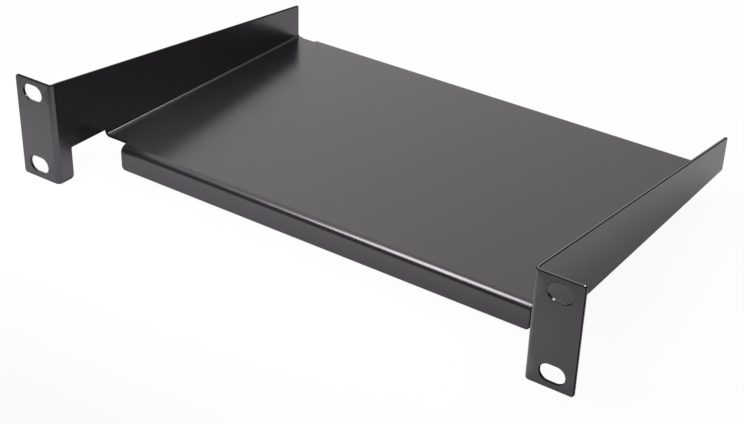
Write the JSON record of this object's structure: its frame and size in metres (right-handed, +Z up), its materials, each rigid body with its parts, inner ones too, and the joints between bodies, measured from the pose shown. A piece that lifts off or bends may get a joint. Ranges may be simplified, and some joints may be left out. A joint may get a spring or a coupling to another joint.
{
  "type": "cantilever rack shelf",
  "caption": "Shallow steel tray with raised tapering sides and slotted ears, bolted by its front to a ten-inch rack to carry small equipment.",
  "frame": {"origin": "under the middle of the shelf, level with the lower edges of the ears", "axes": "+X to the right seen from the front, +Y into the rack, +Z up"},
  "size_m": [0.254, 0.161, 0.0437],
  "materials": {
    "coat": "satin black powder coat"
  },
  "bodies": {
    "root": {"shelf": "coat"}
  },
  "joints": []
}
